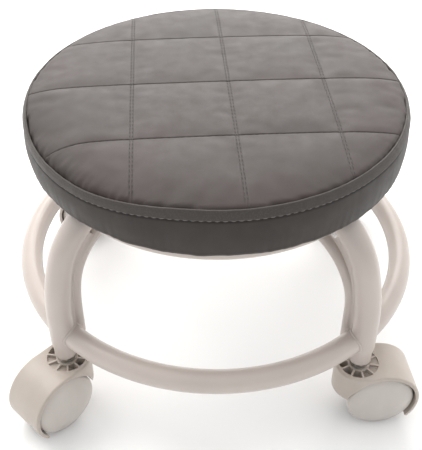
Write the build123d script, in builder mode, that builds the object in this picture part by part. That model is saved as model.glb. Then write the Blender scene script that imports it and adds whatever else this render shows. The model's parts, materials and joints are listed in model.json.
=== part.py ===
from build123d import *
import os
from math import asin, cos, degrees, radians, sin

# Low rolling stool: a quilted round seat on a tubular steel frame with twin-wheel casters.
# Millimetres. The origin is on the floor under the middle of the seat, and +Z is up.

# ---------------------------------------------------------------- driving dimensions
FOOT_RING_R = 155.4        # centreline radius of the foot ring
FOOT_RING_Z = 82.0
FOOT_RING_TUBE_R = 8.75
FOOT_RING_WALL = 1.2

TOP_RING_R = 124.0         # centreline radius of the ring under the seat
TOP_RING_Z = 180.0
TOP_RING_TUBE_R = 7.0
TOP_RING_WALL = 1.2
VENT_R = 2.5               # vent holes of the closed ring, hidden by the legs

LEG_ANGLES = {"front_left": 225, "front_right": 315, "back_right": 45, "back_left": 135}
LEG_STEM_R = 159.5         # distance of each caster stem from the stool's axis
LEG_TUBE_R = 9.5
LEG_WALL = 1.5
LEG_NECK_R = 8.5           # outer radius of the swaged lower end
LEG_END_Z = 62.0
LEG_NECK_TOP_Z = 66.0
LEG_STRAIGHT_Z = 78.0      # full diameter from here up
LEG_BEND_Z = 100.0
LEG_BULGE_R = 160.0        # long outward bow
LEG_BULGE_TURN = 17.5
LEG_SHOULDER_R = 52.0      # tighter bend below the seat
LEG_SHOULDER_TURN = 37.0
LEG_TOP_RUN = 10.0
LEG_TRIM_Z = 186.9
LEG_CAP_T = 1.5            # wall that closes the leg's upper end round the top ring

PLUG_NOSE_Z = 56.5
PLUG_TOP_Z = 66.0
PLUG_NOSE_R = 5.5
PLUG_ROUND = 7.0

WELD_GAP = 0.05            # welded round parts stay this far apart, the weld fills it
BRACE_TUBE_R = 5.0
BRACE_R = LEG_STEM_R - LEG_TUBE_R - BRACE_TUBE_R - WELD_GAP
BRACE_BEND_R = 53.0
UPPER_BRACE_Z = 169.5
LOWER_BRACE_Z = UPPER_BRACE_Z - 2 * BRACE_TUBE_R
BRACE_END_Z = 76.0         # the rods end a little below the middle of the foot ring

SEAT_BOTTOM_Z = 187.0
SEAT_SEAM_R = 140.0
SEAT_SEAM_Z = 226.4
SEAT_TOP_Z = 233.0
SEAT_SIDE_R = 143.4        # the side band bulges this far
SKIN = 1.5                 # thickness of the coated cloth
SKIN_GAP = 0.1             # between one layer of cloth or foam and the next
LINING = 1.0
LINING_INSET = 0.5         # the lining ends this far inside the hem
BOARD_R = 136.5
BOARD_T = 12.0
HEM_R = 133.5              # the band's hem is stapled down to this radius
BAND_FOOT_R = 142.0        # the band rounds under the board below here
BAND_ROUND = 6.0
BAND_INNER_FOOT_R = 137.5

SCREW_R = 3.0
SCREW_CIRCLE_R = 106.0
SCREW_ANGLES = (0, 90, 180, 270)
SCREW_HEAD_R = 6.0
SCREW_HEAD_H = 3.4
SCREW_HEAD_ROUND = 1.6
SCREW_END_DEPTH = 1.0      # the screw ends this far below the top of the board
HEX_R = 2.4
HEX_DEPTH = 2.0
WASHER_R = 7.0
WASHER_BORE_R = 3.2
WASHER_T = 1.2
TAB_WIDTH = 24.0
TAB_T = 3.0
TAB_INNER_R = 94.0
TAB_HOLE_R = 3.4
TAB_OUTER_R = 122.0
NUT_FLANGE_R = 9.0
NUT_FLANGE_T = 1.5
NUT_BARREL_R = 4.0
NUT_END_DEPTH = 2.0        # the barrel ends this far above the bottom of the board
STAPLE_COUNT = 24
STAPLE_CIRCLE_R = 135.5
STAPLE_LENGTH = 10.0
STAPLE_WIRE = 1.0

WHEEL_R = 26.0
TRAIL = 17.0               # stem axis to axle
CASTER_YAW = {"front_left": 228, "front_right": 7.5, "back_right": 48, "back_left": 187.5}
HOOD_R = 30.0
HOOD_HALF_WIDTH = 18.5
CUP_R = 18.5
CUP_BORE_R = 15.2
CUP_FLOOR_Z = 48.7
CUP_RIM_Z = 56.0
CUP_SKIRT_Z = 31.0         # the front of the cup ends here
RIB_COUNT = 10
RIB_T = 1.3
WHEEL_GAP = 1.3
COVER_T = 1.4              # wall between the cup's pocket and the wheels
WEB_HALF = 3.7
BOSS_R = 8.4
BOSS_BOTTOM_Z = 30.0
BOSS_TOP_Z = 55.2
HOOD_TIP_ANGLE = -38.0     # the hood's lower lip, seen from the axle
HOOD_MIDDLE_ANGLE = 26.0
HOOD_EDGE_ROUND = 1.6

AXLE_R = 3.0
AXLE_HALF = 15.5
AXLE_CHAMFER = 0.6
STEM_R = 4.0
STEM_BOTTOM_Z = 33.4
STEM_CHAMFER = 1.0
STEM_FLANGE_R = 6.5
FLANGE_GAP = 0.3           # between the caster's boss and the stem's flange
BUSH_R = 6.0
BUSH_BOTTOM_Z = 33.0
RUNNING = 0.05             # radial clearance of the turning fits
GRIP_Z = 44.0              # height of the grip ring on the stem
GRIP_GROOVE_R = 3.3
GRIP_R = 4.35
GRIP_H = 1.2
GRIP_PLAY = 0.1
GRIP_SLOT = 1.5

WHEEL_INNER_Y = 9.2        # inner edge of the tread
WHEEL_INNER_ROUND = 1.0
WHEEL_TREAD_Y = 14.5
WHEEL_CORNER = (15.9, 25.4)   # place along the axle, and distance from it, of the round at the tread
WHEEL_DOME_EDGE = (16.9, 24.0)
WHEEL_DOME_MIDDLE = (20.6, 14.3)
WHEEL_APEX_Y = 22.0
WHEEL_HUB_R = 7.0
WHEEL_HUB_Y = 4.0
WHEEL_RIM_T = 3.2
WHEEL_DISC_Y = 15.0        # inner face of the disc
WHEEL_BORE_Y = 16.2
WHEEL_RIB_COUNT = 16
WHEEL_RIB_T = 1.2
WHEEL_RIB_SINK = 0.5       # the ribs run this far into the hub, the rim and the disc

os.makedirs("parts", exist_ok=True)


def write(shape, name):
    """Label one finished piece and write its STEP file."""
    shape.label = name
    export_step(shape, f"parts/{name}.step")


def turned(degrees):
    """A turn about the stool's own vertical axis."""
    return Location((0, 0, 0), (0, 0, degrees))


def leg_place(corner):
    return turned(LEG_ANGLES[corner])


def crown_radius(edge_r, rise):
    """Radius of a dome with its middle on the stool's axis, from its edge radius and its rise."""
    return (edge_r**2 + rise**2) / (2 * rise)


def caster_place(corner):
    """Where a caster's own frame stands: on the stem axis, with +X towards its trailing side."""
    angle = radians(LEG_ANGLES[corner])
    x = LEG_STEM_R * cos(angle)
    y = LEG_STEM_R * sin(angle)
    return Location((x, y, 0), (0, 0, CASTER_YAW[corner]))


def hood_point(angle):
    """A point of the hood's outline round the axle, as x and z in the caster's own frame."""
    return (TRAIL + HOOD_R * cos(radians(angle)), WHEEL_R + HOOD_R * sin(radians(angle)))


# ---------------------------------------------------------------- steel frame
# The foot ring is a hoop of tube, notched where each leg is welded into it.
with BuildPart() as foot_ring:
    with BuildSketch(Plane.XZ):
        with Locations((FOOT_RING_R, FOOT_RING_Z)):
            Circle(FOOT_RING_TUBE_R)
            Circle(FOOT_RING_TUBE_R - FOOT_RING_WALL, mode=Mode.SUBTRACT)
    revolve(axis=Axis.Z)
    with BuildSketch(Plane.XY.offset(LEG_END_Z)):
        with PolarLocations(LEG_STEM_R, 4, start_angle=45):
            Circle(LEG_TUBE_R)
    extrude(amount=2 * (FOOT_RING_Z - LEG_END_Z), mode=Mode.SUBTRACT)
write(foot_ring.part, "foot_ring")

# The top ring carries the seat board. A vent hole sits under each leg's weld.
with BuildPart() as top_ring:
    with BuildSketch(Plane.XZ):
        with Locations((TOP_RING_R, TOP_RING_Z)):
            Circle(TOP_RING_TUBE_R)
            Circle(TOP_RING_TUBE_R - TOP_RING_WALL, mode=Mode.SUBTRACT)
    revolve(axis=Axis.Z)
    for leg_angle in LEG_ANGLES.values():
        outward = (cos(radians(leg_angle)), sin(radians(leg_angle)), 0)
        start = (TOP_RING_R * outward[0], TOP_RING_R * outward[1], TOP_RING_Z)
        with BuildSketch(Plane(origin=start, z_dir=outward)):
            Circle(VENT_R)
        extrude(amount=2 * TOP_RING_TUBE_R, mode=Mode.SUBTRACT)
write(top_ring.part, "top_ring")

# A leg stands upright, bows inwards above the foot ring and shoulders in under the seat.
with BuildPart() as leg:
    with BuildLine(Plane.XZ) as leg_path:
        upright = Line((LEG_STEM_R, LEG_STRAIGHT_Z), (LEG_STEM_R, LEG_BEND_Z))
        bow = JernArc(upright @ 1, upright % 1, LEG_BULGE_R, LEG_BULGE_TURN)
        shoulder = JernArc(bow @ 1, bow % 1, LEG_SHOULDER_R, LEG_SHOULDER_TURN)
        PolarLine(shoulder @ 1, LEG_TOP_RUN, 90 + LEG_BULGE_TURN + LEG_SHOULDER_TURN)
    with BuildSketch(Plane.XY.offset(LEG_STRAIGHT_Z)):
        with Locations((LEG_STEM_R, 0)):
            Circle(LEG_TUBE_R)
            Circle(LEG_TUBE_R - LEG_WALL, mode=Mode.SUBTRACT)
    sweep(path=leg_path.line)
    with BuildSketch(Plane(origin=leg_path.line @ 1, z_dir=leg_path.line % 1)):
        Circle(LEG_TUBE_R)
    extrude(amount=-LEG_CAP_T)
    with BuildSketch(Plane.XZ.shift_origin((LEG_STEM_R, 0, 0))):
        with BuildLine():
            middle_z = (LEG_NECK_TOP_Z + LEG_STRAIGHT_Z) / 2
            for wall in (0, LEG_WALL):
                wide = LEG_TUBE_R - wall
                narrow = LEG_NECK_R - wall
                neck_top = (narrow, LEG_NECK_TOP_Z)
                Bezier((wide, LEG_STRAIGHT_Z), (wide, middle_z), (narrow, middle_z), neck_top)
                Line(neck_top, (narrow, LEG_END_Z))
            Line((LEG_NECK_R, LEG_END_Z), (LEG_NECK_R - LEG_WALL, LEG_END_Z))
            Line((LEG_TUBE_R, LEG_STRAIGHT_Z), (LEG_TUBE_R - LEG_WALL, LEG_STRAIGHT_Z))
        make_face()
    revolve(axis=Axis((LEG_STEM_R, 0, 0), (0, 0, 1)))
    with BuildSketch(Plane.XZ):
        with Locations((TOP_RING_R, TOP_RING_Z)):
            Circle(TOP_RING_TUBE_R)
    revolve(axis=Axis.Z, mode=Mode.SUBTRACT)
    split(bisect_by=Plane.XY.offset(LEG_TRIM_Z), keep=Keep.BOTTOM)

# The turned plug closes the leg's lower end, and the caster stem screws into it.
with BuildPart() as leg_plug:
    with BuildSketch(Plane.XZ.shift_origin((LEG_STEM_R, 0, 0))):
        with BuildLine():
            seat_r = LEG_NECK_R - LEG_WALL
            Line((STEM_R, PLUG_NOSE_Z), (PLUG_NOSE_R, PLUG_NOSE_Z))
            RadiusArc((PLUG_NOSE_R, PLUG_NOSE_Z), (LEG_NECK_R, LEG_END_Z), -PLUG_ROUND)
            Polyline(
                (LEG_NECK_R, LEG_END_Z),
                (seat_r, LEG_END_Z),
                (seat_r, PLUG_TOP_Z),
                (STEM_R, PLUG_TOP_Z),
                (STEM_R, PLUG_NOSE_Z),
            )
        make_face()
    revolve(axis=Axis((LEG_STEM_R, 0, 0), (0, 0, 1)))

for corner in LEG_ANGLES:
    write(leg.part.moved(leg_place(corner)), f"leg_{corner}")
    write(leg_plug.part.moved(leg_place(corner)), f"leg_plug_{corner}")


def bent_brace(run_z, name, turn):
    """One bent rod: up the inner side of a leg, across under the seat and down the opposite leg."""
    hug_r = LEG_BULGE_R - (LEG_STEM_R - BRACE_R)
    hug_turn = degrees(asin((run_z - LEG_BEND_Z - BRACE_BEND_R) / (hug_r - BRACE_BEND_R)))
    with BuildPart() as brace:
        with BuildLine(Plane.XZ) as brace_path:
            rise = Line((BRACE_R, BRACE_END_Z), (BRACE_R, LEG_BEND_Z))
            near_hug = JernArc(rise @ 1, rise % 1, hug_r, hug_turn)
            near_bend = JernArc(near_hug @ 1, near_hug % 1, BRACE_BEND_R, 90 - hug_turn)
            across = Line(near_bend @ 1, (-(near_bend @ 1).X, run_z))
            far_bend = JernArc(across @ 1, across % 1, BRACE_BEND_R, 90 - hug_turn)
            far_hug = JernArc(far_bend @ 1, far_bend % 1, hug_r, hug_turn)
            Line(far_hug @ 1, (-BRACE_R, BRACE_END_Z))
        with BuildSketch(Plane.XY.offset(BRACE_END_Z)):
            with Locations((BRACE_R, 0)):
                Circle(BRACE_TUBE_R)
        sweep(path=brace_path.line)
        with BuildSketch(Plane.XZ):
            with Locations((FOOT_RING_R, FOOT_RING_Z)):
                Circle(FOOT_RING_TUBE_R)
        revolve(axis=Axis.Z, mode=Mode.SUBTRACT)
    write(brace.part.moved(turned(turn)), name)


bent_brace(UPPER_BRACE_Z, "upper_brace", LEG_ANGLES["front_left"])
bent_brace(LOWER_BRACE_Z, "lower_brace", LEG_ANGLES["front_right"])

# ---------------------------------------------------------------- seat fixings
with BuildPart() as seat_tabs:
    tab_length = TOP_RING_R - TAB_INNER_R
    for angle in SCREW_ANGLES:
        with BuildSketch(Plane.XY.offset(SEAT_BOTTOM_Z - TAB_T).rotated((0, 0, angle))):
            with Locations((TAB_INNER_R + tab_length / 2, 0)):
                Rectangle(tab_length, TAB_WIDTH)
            with Locations((SCREW_CIRCLE_R, 0)):
                Circle(TAB_HOLE_R, mode=Mode.SUBTRACT)
        extrude(amount=TAB_T)
    with BuildSketch(Plane.XZ):
        with Locations((TOP_RING_R, TOP_RING_Z)):
            Circle(TOP_RING_TUBE_R + WELD_GAP)
    revolve(axis=Axis.Z, mode=Mode.SUBTRACT)
    with BuildSketch(Plane.XY.offset(SEAT_BOTTOM_Z - TAB_T)):
        Circle(TOP_RING_R + TOP_RING_TUBE_R)
        Circle(TAB_OUTER_R, mode=Mode.SUBTRACT)
    extrude(amount=TAB_T, mode=Mode.SUBTRACT)
write(seat_tabs.part, "seat_tabs")

washer_top = SEAT_BOTTOM_Z - TAB_T
with BuildPart() as washers:
    with BuildSketch(Plane.XY.offset(washer_top - WASHER_T)):
        with PolarLocations(SCREW_CIRCLE_R, len(SCREW_ANGLES)):
            Circle(WASHER_R)
            Circle(WASHER_BORE_R, mode=Mode.SUBTRACT)
    extrude(amount=WASHER_T)
write(washers.part, "screw_washers")

board_bottom = SEAT_BOTTOM_Z + LINING
board_top = board_bottom + BOARD_T
with BuildPart() as screws:
    head_top = washer_top - WASHER_T
    with BuildSketch(Plane.XY.offset(head_top - SCREW_HEAD_H)):
        with PolarLocations(SCREW_CIRCLE_R, len(SCREW_ANGLES)):
            Circle(SCREW_HEAD_R)
    extrude(amount=SCREW_HEAD_H)
    fillet(screws.edges().group_by(Axis.Z)[0], SCREW_HEAD_ROUND)
    with BuildSketch(Plane.XY.offset(head_top - SCREW_HEAD_H)):
        with PolarLocations(SCREW_CIRCLE_R, len(SCREW_ANGLES)):
            RegularPolygon(HEX_R, 6)
    extrude(amount=HEX_DEPTH, mode=Mode.SUBTRACT)
    with BuildSketch(Plane.XY.offset(head_top)):
        with PolarLocations(SCREW_CIRCLE_R, len(SCREW_ANGLES)):
            Circle(SCREW_R)
    extrude(amount=board_top - SCREW_END_DEPTH - head_top)
write(screws.part, "seat_screws")

with BuildPart() as t_nuts:
    with BuildSketch(Plane.XY.offset(board_top - NUT_FLANGE_T)):
        with PolarLocations(SCREW_CIRCLE_R, len(SCREW_ANGLES)):
            Circle(NUT_FLANGE_R)
            Circle(SCREW_R + RUNNING, mode=Mode.SUBTRACT)
    extrude(amount=NUT_FLANGE_T)
    with BuildSketch(Plane.XY.offset(board_bottom + NUT_END_DEPTH)):
        with PolarLocations(SCREW_CIRCLE_R, len(SCREW_ANGLES)):
            Circle(NUT_BARREL_R)
            Circle(SCREW_R + RUNNING, mode=Mode.SUBTRACT)
    extrude(amount=BOARD_T - NUT_END_DEPTH - NUT_FLANGE_T)
write(t_nuts.part, "t_nuts")

# ---------------------------------------------------------------- seat
with BuildPart() as seat_board:
    with BuildSketch(Plane.XY.offset(board_bottom)):
        Circle(BOARD_R)
        with PolarLocations(SCREW_CIRCLE_R, len(SCREW_ANGLES)):
            Circle(NUT_BARREL_R, mode=Mode.SUBTRACT)
    extrude(amount=BOARD_T)
    with BuildSketch(Plane.XY.offset(board_top - NUT_FLANGE_T)):
        with PolarLocations(SCREW_CIRCLE_R, len(SCREW_ANGLES)):
            Circle(NUT_FLANGE_R)
    extrude(amount=NUT_FLANGE_T, mode=Mode.SUBTRACT)
write(seat_board.part, "seat_board")

with BuildPart() as seat_lining:
    with BuildSketch(Plane.XY.offset(SEAT_BOTTOM_Z)):
        Circle(HEM_R - LINING_INSET)
        with PolarLocations(SCREW_CIRCLE_R, len(SCREW_ANGLES)):
            Circle(NUT_BARREL_R, mode=Mode.SUBTRACT)
    extrude(amount=LINING)
write(seat_lining.part, "seat_lining")

foam_edge_z = SEAT_SEAM_Z - 2 * SKIN
foam_top_z = SEAT_TOP_Z - SKIN - 2 * SKIN_GAP
with BuildPart() as seat_foam:
    with BuildSketch(Plane.XZ):
        with BuildLine():
            Line((0, board_top), (BOARD_R, board_top))
            foam_edge = (SEAT_SEAM_R - 2 * SKIN, foam_edge_z)
            foam_side = (SEAT_SIDE_R - 2 * SKIN, (board_top + foam_edge_z) / 2)
            ThreePointArc((BOARD_R, board_top), foam_side, foam_edge)
            foam_crown_r = crown_radius(foam_edge[0], foam_top_z - foam_edge_z)
            RadiusArc(foam_edge, (0, foam_top_z), -foam_crown_r)
            Line((0, foam_top_z), (0, board_top))
        make_face()
    revolve(axis=Axis.Z)
write(seat_foam.part, "seat_foam")

with BuildPart() as seat_top_panel:
    with BuildSketch(Plane.XZ):
        with BuildLine():
            panel_crown_r = crown_radius(SEAT_SEAM_R, SEAT_TOP_Z - SEAT_SEAM_Z)
            RadiusArc((SEAT_SEAM_R, SEAT_SEAM_Z), (0, SEAT_TOP_Z), -panel_crown_r)
            RadiusArc((SEAT_SEAM_R, SEAT_SEAM_Z - SKIN), (0, SEAT_TOP_Z - SKIN), -panel_crown_r)
            Line((0, SEAT_TOP_Z), (0, SEAT_TOP_Z - SKIN))
            Line((SEAT_SEAM_R, SEAT_SEAM_Z), (SEAT_SEAM_R, SEAT_SEAM_Z - SKIN))
        make_face()
    revolve(axis=Axis.Z)
write(seat_top_panel.part, "seat_top_panel")

with BuildPart() as seat_side_band:
    with BuildSketch(Plane.XZ):
        with BuildLine():
            band_top = SEAT_SEAM_Z - SKIN - SKIN_GAP
            band_foot = SEAT_BOTTOM_Z + BAND_ROUND
            middle = (band_top + band_foot) / 2
            foot = (BAND_FOOT_R, band_foot)
            inner_foot = (BAND_FOOT_R - SKIN, band_foot)
            ThreePointArc((SEAT_SEAM_R, band_top), (SEAT_SIDE_R, middle), foot)
            RadiusArc(foot, (BAND_FOOT_R - BAND_ROUND, SEAT_BOTTOM_Z), BAND_ROUND)
            Polyline(
                (BAND_FOOT_R - BAND_ROUND, SEAT_BOTTOM_Z),
                (HEM_R, SEAT_BOTTOM_Z),
                (HEM_R, board_bottom),
                (BAND_INNER_FOOT_R, board_bottom),
                inner_foot,
            )
            ThreePointArc(inner_foot, (SEAT_SIDE_R - SKIN, middle), (SEAT_SEAM_R - SKIN, band_top))
            Line((SEAT_SEAM_R - SKIN, band_top), (SEAT_SEAM_R, band_top))
        make_face()
    revolve(axis=Axis.Z)
write(seat_side_band.part, "seat_side_band")

# Staples hold the band's hem to the board. Only their crowns show.
with BuildPart() as staples:
    with BuildSketch(Plane.XY.offset(SEAT_BOTTOM_Z - STAPLE_WIRE / 2)):
        with PolarLocations(STAPLE_CIRCLE_R, STAPLE_COUNT, start_angle=180 / STAPLE_COUNT):
            Rectangle(STAPLE_WIRE, STAPLE_LENGTH)
    extrude(amount=STAPLE_WIRE / 2)
write(staples.part, "hem_staples")

# ---------------------------------------------------------------- caster
# One caster in its own frame: the stem axis is Z, the axle is parallel to Y at x = TRAIL.
with BuildPart() as stem:
    with BuildSketch(Plane.XY.offset(STEM_BOTTOM_Z)):
        Circle(STEM_R)
    extrude(amount=PLUG_TOP_Z - STEM_BOTTOM_Z)
    with BuildSketch(Plane.XY.offset(BOSS_TOP_Z + FLANGE_GAP)):
        Circle(STEM_FLANGE_R)
    extrude(amount=PLUG_NOSE_Z - BOSS_TOP_Z - FLANGE_GAP)
    chamfer(stem.edges().group_by(Axis.Z)[0], STEM_CHAMFER)
    with BuildSketch(Plane.XY.offset(GRIP_Z - GRIP_H / 2)):
        Circle(STEM_R)
        Circle(GRIP_GROOVE_R, mode=Mode.SUBTRACT)
    extrude(amount=GRIP_H, mode=Mode.SUBTRACT)

with BuildPart() as grip_ring:
    with BuildSketch(Plane.XY.offset(GRIP_Z - GRIP_H / 2 + GRIP_PLAY)):
        Circle(GRIP_R)
        Circle(GRIP_GROOVE_R + GRIP_PLAY, mode=Mode.SUBTRACT)
        with Locations((GRIP_R, 0)):
            Rectangle(GRIP_R, GRIP_SLOT, mode=Mode.SUBTRACT)
    extrude(amount=GRIP_H - 2 * GRIP_PLAY)

with BuildPart() as bush:
    with BuildSketch(Plane.XY.offset(BUSH_BOTTOM_Z)):
        Circle(BUSH_R)
        Circle(STEM_R + RUNNING, mode=Mode.SUBTRACT)
    extrude(amount=BOSS_TOP_Z - BUSH_BOTTOM_Z)
    with BuildSketch(Plane.XY.offset(GRIP_Z - GRIP_H)):
        Circle(GRIP_R + 4 * GRIP_PLAY)
    extrude(amount=2 * GRIP_H, mode=Mode.SUBTRACT)

# The hood: a cup around the stem that runs into a rounded cover over both wheels.
with BuildPart() as hood:
    with BuildSketch(Plane.XY):
        Circle(CUP_R)
        with Locations((TRAIL + HOOD_R / 2, 0)):
            Rectangle(2 * TRAIL + HOOD_R, 2 * HOOD_HALF_WIDTH)
    extrude(amount=CUP_RIM_Z)
    with BuildSketch(Plane.XZ):
        with BuildLine():
            tip = hood_point(HOOD_TIP_ANGLE)
            hood_top = hood_point(90)
            ThreePointArc(tip, hood_point(HOOD_MIDDLE_ANGLE), hood_top)
            Polyline(
                hood_top,
                (-CUP_R, CUP_RIM_Z),
                (-CUP_R, CUP_SKIRT_Z),
                (TRAIL - WHEEL_R, CUP_SKIRT_Z),
                tip,
            )
        make_face()
    extrude(amount=CUP_R, both=True, mode=Mode.INTERSECT)
    fillet(hood.edges().filter_by(GeomType.CIRCLE).group_by(Axis.Z)[-1], HOOD_EDGE_ROUND)
    for side_of_web in (1, -1):
        with BuildSketch(Plane.XZ.offset(-side_of_web * WEB_HALF)):
            with Locations((TRAIL, WHEEL_R)):
                Circle(WHEEL_R + WHEEL_GAP)
        extrude(amount=-side_of_web * CUP_R, mode=Mode.SUBTRACT)
    with BuildSketch(Plane.XY.offset(BOSS_BOTTOM_Z)):
        Circle(BOSS_R)
    extrude(amount=CUP_FLOOR_Z - BOSS_BOTTOM_Z)

with BuildPart() as cup_pocket:
    with BuildSketch(Plane.XY.offset(CUP_FLOOR_Z)):
        Circle(CUP_BORE_R)
        Circle(BOSS_R, mode=Mode.SUBTRACT)
        with PolarLocations((CUP_BORE_R + BOSS_R) / 2, RIB_COUNT, start_angle=180 / RIB_COUNT):
            Rectangle(2 * (CUP_BORE_R - BOSS_R), RIB_T, mode=Mode.SUBTRACT)
    extrude(amount=CUP_RIM_Z)
    with BuildSketch(Plane.XZ):
        with Locations((TRAIL, WHEEL_R)):
            Circle(WHEEL_R + WHEEL_GAP + COVER_T)
    extrude(amount=2 * CUP_R, both=True, mode=Mode.SUBTRACT)

with BuildPart() as caster_hood:
    add(hood.part)
    add(cup_pocket.part, mode=Mode.SUBTRACT)
    with BuildSketch(Plane.XY.offset(BOSS_TOP_Z)):
        Circle(BOSS_R)
    extrude(amount=CUP_RIM_Z, mode=Mode.SUBTRACT)
    with BuildSketch(Plane.XY.offset(BUSH_BOTTOM_Z)):
        Circle(BUSH_R)
    extrude(amount=CUP_RIM_Z, mode=Mode.SUBTRACT)
    with BuildSketch(Plane.XZ):
        with Locations((TRAIL, WHEEL_R)):
            Circle(AXLE_R)
    extrude(amount=2 * WEB_HALF, both=True, mode=Mode.SUBTRACT)

with BuildPart() as axle:
    with BuildSketch(Plane.XZ):
        with Locations((TRAIL, WHEEL_R)):
            Circle(AXLE_R)
    extrude(amount=AXLE_HALF, both=True)
    chamfer(axle.edges(), AXLE_CHAMFER)

# A wheel: a domed disc with a tread, ribbed behind, on a blind hub.
with BuildPart() as wheel:
    hub_edge = WHEEL_R + WHEEL_HUB_R
    rim_inside = 2 * WHEEL_R - WHEEL_RIM_T
    tread = 2 * WHEEL_R
    bore = WHEEL_R + AXLE_R + RUNNING
    with BuildSketch(Plane.YZ.offset(TRAIL)):
        with BuildLine():
            dome_middle = (WHEEL_DOME_MIDDLE[0], WHEEL_R + WHEEL_DOME_MIDDLE[1])
            dome_edge = (WHEEL_DOME_EDGE[0], WHEEL_R + WHEEL_DOME_EDGE[1])
            corner_middle = (WHEEL_CORNER[0], WHEEL_R + WHEEL_CORNER[1])
            inner_start = (WHEEL_INNER_Y + WHEEL_INNER_ROUND, tread)
            inner_end = (WHEEL_INNER_Y, tread - WHEEL_INNER_ROUND)
            ThreePointArc((WHEEL_APEX_Y, WHEEL_R), dome_middle, dome_edge)
            ThreePointArc(dome_edge, corner_middle, (WHEEL_TREAD_Y, tread))
            Line((WHEEL_TREAD_Y, tread), inner_start)
            RadiusArc(inner_start, inner_end, -WHEEL_INNER_ROUND)
            Polyline(
                inner_end,
                (WHEEL_INNER_Y, rim_inside),
                (WHEEL_DISC_Y, rim_inside),
                (WHEEL_DISC_Y, hub_edge),
                (WHEEL_HUB_Y, hub_edge),
                (WHEEL_HUB_Y, bore),
                (WHEEL_BORE_Y, bore),
                (WHEEL_BORE_Y, WHEEL_R),
                (WHEEL_APEX_Y, WHEEL_R),
            )
        make_face()
    revolve(axis=Axis((TRAIL, 0, WHEEL_R), (0, 1, 0)))
    rib_inner_r = WHEEL_HUB_R - WHEEL_RIB_SINK
    rib_outer_r = WHEEL_R - WHEEL_RIM_T + WHEEL_RIB_SINK
    with BuildSketch(Plane.XZ.offset(-WHEEL_INNER_Y)):
        with Locations((TRAIL, WHEEL_R)):
            with PolarLocations((rib_inner_r + rib_outer_r) / 2, WHEEL_RIB_COUNT):
                Rectangle(rib_outer_r - rib_inner_r, WHEEL_RIB_T)
    extrude(amount=WHEEL_INNER_Y - WHEEL_DISC_Y - WHEEL_RIB_SINK)

with BuildPart() as opposite_wheel:
    add(wheel.part)
    mirror(about=Plane.XZ, mode=Mode.REPLACE)

rings = []
for corner in LEG_ANGLES:
    place = caster_place(corner)
    write(stem.part.moved(place), f"stem_{corner}")
    write(bush.part.moved(place), f"bush_{corner}")
    write(caster_hood.part.moved(place), f"hood_{corner}")
    write(axle.part.moved(place), f"axle_{corner}")
    write(wheel.part.moved(place), f"wheel_a_{corner}")
    write(opposite_wheel.part.moved(place), f"wheel_b_{corner}")
    rings.append(grip_ring.part.moved(place))
write(Compound(rings), "grip_rings")
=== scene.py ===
import json
import math

import bmesh
import bpy
import numpy as np
from mathutils import Euler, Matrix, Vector, noise
from mathutils.bvhtree import BVHTree


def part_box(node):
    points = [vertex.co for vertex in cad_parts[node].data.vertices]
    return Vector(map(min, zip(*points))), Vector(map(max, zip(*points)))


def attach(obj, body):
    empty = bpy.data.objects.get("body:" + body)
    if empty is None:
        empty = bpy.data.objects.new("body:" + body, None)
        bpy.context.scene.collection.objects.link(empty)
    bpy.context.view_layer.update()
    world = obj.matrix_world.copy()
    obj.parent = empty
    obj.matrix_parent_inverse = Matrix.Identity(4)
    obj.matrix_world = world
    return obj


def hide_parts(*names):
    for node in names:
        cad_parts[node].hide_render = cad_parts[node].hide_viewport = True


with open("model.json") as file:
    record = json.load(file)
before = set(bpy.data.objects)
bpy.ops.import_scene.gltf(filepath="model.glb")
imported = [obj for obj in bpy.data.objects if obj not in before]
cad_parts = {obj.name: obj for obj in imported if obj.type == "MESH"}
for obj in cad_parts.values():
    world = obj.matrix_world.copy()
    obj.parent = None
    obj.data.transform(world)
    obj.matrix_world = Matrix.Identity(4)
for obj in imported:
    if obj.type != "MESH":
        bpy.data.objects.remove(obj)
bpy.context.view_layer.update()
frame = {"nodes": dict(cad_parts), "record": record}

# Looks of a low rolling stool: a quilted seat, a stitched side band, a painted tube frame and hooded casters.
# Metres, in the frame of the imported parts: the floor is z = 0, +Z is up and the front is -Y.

MM = 0.001

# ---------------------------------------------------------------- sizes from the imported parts
panel_low, panel_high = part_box("seat_top_panel")
band_low, band_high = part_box("seat_side_band")
board_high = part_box("seat_board")[1]
lining_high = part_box("seat_lining")[1]
foot_low, foot_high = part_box("foot_ring")
plug_low, plug_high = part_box("leg_plug_back_right")

SKIN = 1.5 * MM                          # thickness of the coated cloth
SEAM_R = panel_high.x
SEAM_Z = panel_low.z + SKIN
TOP_Z = panel_high.z
SIDE_R = band_high.x
SEAT_BOTTOM = band_low.z
BOARD_TOP = board_high.z
LINING_R = lining_high.x

FOOT_TUBE_R = (foot_high.z - foot_low.z) / 2
FOOT_RING_R = foot_high.x - FOOT_TUBE_R
FOOT_RING_Z = (foot_high.z + foot_low.z) / 2
STEM_R = ((plug_high + plug_low) / 2).xy.length
LEG_ANGLES = {"front_left": 225, "front_right": 315, "back_right": 45, "back_left": 135}
LEG_R = 9.5 * MM
LEG_BEND_Z = 100 * MM                    # a leg is upright up to here and bows inwards above
LEG_BOW_R = 160 * MM
LEG_BOW_TURN = math.radians(17.5)
LEG_SHOULDER_R = 52 * MM
BRACE_TUBE_R = 5 * MM
BRACE_RUN_Z = 169.5 * MM
BRACE_BEND_R = 53 * MM
BRACE_END_Z = 76 * MM
WELD_FOOT_Z = 84 * MM                    # the long weld starts here, inside the foot ring
LONGEST_WELD = 27 * MM                   # and ends where the brace's middle is this far from the leg's
FOOT_BEAD_R = 1.1 * MM                   # round bead between the foot ring and a leg
BRACE_BEAD_R = 1.2 * MM                  # round bead between the foot ring and a brace

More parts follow.
